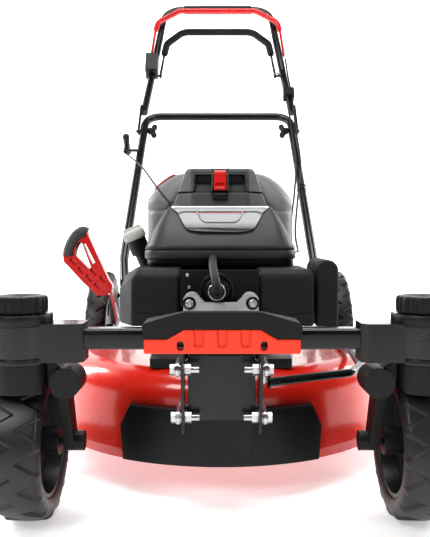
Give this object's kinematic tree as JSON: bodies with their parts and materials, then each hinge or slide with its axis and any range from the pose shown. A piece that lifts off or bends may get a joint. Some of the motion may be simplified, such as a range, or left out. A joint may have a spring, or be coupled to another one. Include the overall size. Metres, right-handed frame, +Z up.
{
  "type": "push lawn mower",
  "caption": "Petrol push lawn mower with a round red deck, front swivel casters on a lift linkage, rear crank axle, engine, rear discharge and a two-part folding handle with bails.",
  "frame": {"origin": "on the ground below the blade axis, at the rest height", "axes": "+Z up, -Y towards the front casters, +Y towards the handle, +X to the right seen from the front"},
  "size_m": [0.646, 1.5959, 1.1325],
  "materials": {
    "deck_paint": "glossy red enamel",
    "frame_paint": "gloss black powder coat",
    "handle_paint": "gloss black tube",
    "black_plastic": "textured black moulding",
    "cowl_plastic": "charcoal textured moulding",
    "dome_plastic": "grey moulding",
    "red_plastic": "glossy red moulding",
    "orange_plastic": "red-orange moulding",
    "pale_plastic": "pale grey moulding",
    "grip_grey": "soft grey grip",
    "foam": "black foam",
    "rubber": "black rubber",
    "tyre": "moulded tread rubber",
    "rim_plastic": "dark moulded rim",
    "cast_alloy": "sand-cast alloy",
    "badge_metal": "silver plate",
    "zinc": "zinc plated",
    "steel": "plain steel",
    "cord": "braided cord"
  },
  "bodies": {
    "deck": {"mower_deck": "deck_paint", "front_bumper": "black_plastic", "deck_brackets": "frame_paint", "crankcase": "cast_alloy", "cylinder_cover": "cast_alloy", "spark_plug": "steel", "plug_boot": "rubber", "engine_cowl": "cowl_plastic", "cowl_badge": "badge_metal", "engine_dome": "dome_plastic", "air_box": "cowl_plastic", "muffler": "steel", "muffler_guard": "cowl_plastic", "fuel_tank": "dome_plastic", "oil_neck": "black_plastic", "gearbox": "cast_alloy", "drive_belt": "rubber"},
    "hatch": {"hatch_lid": "cowl_plastic"},
    "latch": {"hatch_latch": "red_plastic"},
    "filler_cap": {"oil_cap": "pale_plastic"},
    "reel": {"starter_reel": "black_plastic"},
    "crank_spin": {"crankshaft": "steel", "flywheel": "cast_alloy", "blade_adapter": "black_plastic", "mowing_blade": "steel"},
    "drive_pulley": {"gearbox_pulley": "steel"},
    "upper_link_pair": {"upper_links": "zinc"},
    "lower_link_pair": {"lower_links": "zinc"},
    "front_carriage": {"front_axle_tube": "frame_paint", "crossbar_cover": "orange_plastic", "crossbar_trim": "black_plastic", "link_bolts": "zinc"},
    "caster_left": {"caster_fork_left": "black_plastic"},
    "caster_right": {"caster_fork_right": "black_plastic"},
    "front_wheel_left": {"front_rim_left": "rim_plastic", "front_tyre_left": "tyre"},
    "front_wheel_right": {"front_rim_right": "rim_plastic", "front_tyre_right": "tyre"},
    "knob_left": {"lock_knob_left": "black_plastic"},
    "knob_right": {"lock_knob_right": "black_plastic"},
    "rear_crank": {"rear_axle": "steel", "height_lever": "red_plastic", "lever_grip": "grip_grey"},
    "rear_wheel_left": {"rear_rim_left": "rim_plastic", "rear_tyre_left": "tyre"},
    "rear_wheel_right": {"rear_rim_right": "rim_plastic", "rear_tyre_right": "tyre"},
    "rod": {"height_rod": "frame_paint"},
    "flap": {"rear_flap": "black_plastic"},
    "handle_low": {"lower_handle": "handle_paint", "control_cables": "rubber", "starter_rope": "cord"},
    "handle_top": {"upper_handle": "handle_paint", "handle_grip": "foam", "control_box": "black_plastic"},
    "wing_left": {"wing_knob_left": "black_plastic"},
    "wing_right": {"wing_knob_right": "black_plastic"},
    "bail_stop": {"stop_bail": "red_plastic"},
    "bail_drive": {"drive_bail": "foam"},
    "pull_grip": {"starter_grip": "black_plastic"}
  },
  "joints": [
    {"name": "height_adjust", "type": "hinge", "parent": "deck", "child": "rear_crank", "pos_m": [0, 0.3, 0.143], "axis": [1, 0, 0], "range_deg": [-22, 22]},
    {"name": "upper_link_swing", "type": "hinge", "parent": "deck", "child": "upper_link_pair", "pos_m": [0, -0.316, 0.1975], "axis": [1, 0, 0], "range_deg": [-22, 22]},
    {"name": "carriage_swing", "type": "hinge", "parent": "upper_link_pair", "child": "front_carriage", "pos_m": [0, -0.366, 0.1975], "axis": [1, 0, 0], "range_deg": [-22, 22]},
    {"name": "lower_link_swing", "type": "hinge", "parent": "deck", "child": "lower_link_pair", "pos_m": [0, -0.296, 0.1305], "axis": [1, 0, 0], "range_deg": [-22, 22]},
    {"name": "height_rod_travel", "type": "slide", "parent": "deck", "child": "rod", "axis": [0, 1, 0], "range_m": [-0.0093, 0.0093]},
    {"name": "caster_swivel_left", "type": "hinge", "parent": "front_carriage", "child": "caster_left", "pos_m": [-0.248, -0.395, 0.24], "axis": [0, 0, 1], "continuous": true},
    {"name": "caster_swivel_right", "type": "hinge", "parent": "front_carriage", "child": "caster_right", "pos_m": [0.248, -0.395, 0.24], "axis": [0, 0, 1], "continuous": true},
    {"name": "front_wheel_spin_left", "type": "hinge", "parent": "caster_left", "child": "front_wheel_left", "pos_m": [-0.248, -0.345, 0.1], "axis": [1, 0, 0], "continuous": true},
    {"name": "front_wheel_spin_right", "type": "hinge", "parent": "caster_right", "child": "front_wheel_right", "pos_m": [0.248, -0.345, 0.1], "axis": [1, 0, 0], "continuous": true},
    {"name": "lock_knob_turn_left", "type": "hinge", "parent": "front_carriage", "child": "knob_left", "pos_m": [-0.248, -0.395, 0.285], "axis": [0, 0, 1], "range_deg": [0, 90]},
    {"name": "lock_knob_turn_right", "type": "hinge", "parent": "front_carriage", "child": "knob_right", "pos_m": [0.248, -0.395, 0.285], "axis": [0, 0, 1], "range_deg": [0, 90]},
    {"name": "rear_wheel_spin_left", "type": "hinge", "parent": "rear_crank", "child": "rear_wheel_left", "pos_m": [-0.264, 0.35, 0.143], "axis": [1, 0, 0], "continuous": true},
    {"name": "rear_wheel_spin_right", "type": "hinge", "parent": "rear_crank", "child": "rear_wheel_right", "pos_m": [0.264, 0.35, 0.143], "axis": [1, 0, 0], "continuous": true},
    {"name": "engine_turn", "type": "hinge", "parent": "deck", "child": "crank_spin", "pos_m": [0, 0, 0.2], "axis": [0, 0, 1], "continuous": true},
    {"name": "gearbox_pulley_turn", "type": "hinge", "parent": "deck", "child": "drive_pulley", "pos_m": [0.148, 0.258, 0.15], "axis": [0, 0, 1], "continuous": true},
    {"name": "rear_flap_swing", "type": "hinge", "parent": "deck", "child": "flap", "pos_m": [0, 0.36, 0.308], "axis": [1, 0, 0], "range_deg": [0, 75], "stiffness_Nm_per_rad": 0.5, "springref_deg": -28.65},
    {"name": "lower_handle_fold", "type": "hinge", "parent": "deck", "child": "handle_low", "pos_m": [0, 0.36, 0.23], "axis": [1, 0, 0], "range_deg": [0, 104], "deforming": ["control_cables", "starter_rope"]},
    {"name": "upper_handle_fold", "type": "hinge", "parent": "handle_low", "child": "handle_top", "pos_m": [0, 0.782, 0.669], "axis": [1, 0, 0], "range_deg": [-158, 0], "deforming": ["control_cables"]},
    {"name": "wing_knob_turn_left", "type": "hinge", "parent": "handle_low", "child": "wing_left", "pos_m": [-0.19, 0.782, 0.669], "axis": [1, 0, 0], "range_deg": [0, 180]},
    {"name": "wing_knob_turn_right", "type": "hinge", "parent": "handle_low", "child": "wing_right", "pos_m": [0.19, 0.782, 0.669], "axis": [1, 0, 0], "range_deg": [0, 180]},
    {"name": "stop_bail_squeeze", "type": "hinge", "parent": "handle_top", "child": "bail_stop", "pos_m": [0, 1.029, 0.95], "axis": [1, 0, 0], "range_deg": [-5, 0], "stiffness_Nm_per_rad": 1.5, "springref_deg": 28.65},
    {"name": "drive_bail_squeeze", "type": "hinge", "parent": "handle_top", "child": "bail_drive", "pos_m": [0, 0.985, 0.872], "axis": [1, 0, 0], "range_deg": [0, 7], "stiffness_Nm_per_rad": 1.5, "springref_deg": -28.65},
    {"name": "hatch_open", "type": "hinge", "parent": "deck", "child": "hatch", "pos_m": [0, 0.042, 0.48], "axis": [1, 0, 0], "range_deg": [-75, 0]},
    {"name": "latch_lift", "type": "hinge", "parent": "hatch", "child": "latch", "pos_m": [0, -0.036, 0.473], "axis": [1, 0, 0], "range_deg": [-15, 0], "stiffness_Nm_per_rad": 0.05, "springref_deg": 28.65},
    {"name": "oil_cap_turn", "type": "hinge", "parent": "deck", "child": "filler_cap", "pos_m": [-0.151, -0.022, 0.37], "axis": [-0.3678, -0.1379, 0.9196], "range_deg": [0, 90]},
    {"name": "starter_pull", "type": "slide", "parent": "handle_low", "child": "pull_grip", "axis": [0, 0.693, 0.7209], "range_m": [0, 0.35]},
    {"name": "starter_reel_turn", "type": "hinge", "parent": "deck", "child": "reel", "pos_m": [0, 0, 0.396], "axis": [0, 0, 1], "range_deg": [0, 405]}
  ],
  "couplings": [
    {"joint": "upper_link_swing", "follows": "height_adjust", "ratio": -1},
    {"joint": "carriage_swing", "follows": "height_adjust", "ratio": 1},
    {"joint": "lower_link_swing", "follows": "height_adjust", "ratio": -1},
    {"joint": "height_rod_travel", "follows": "height_adjust", "m_per_rad": -0.0237},
    {"joint": "gearbox_pulley_turn", "follows": "engine_turn", "ratio": 0.87},
    {"joint": "starter_reel_turn", "follows": "starter_pull", "rad_per_m": 20}
  ]
}
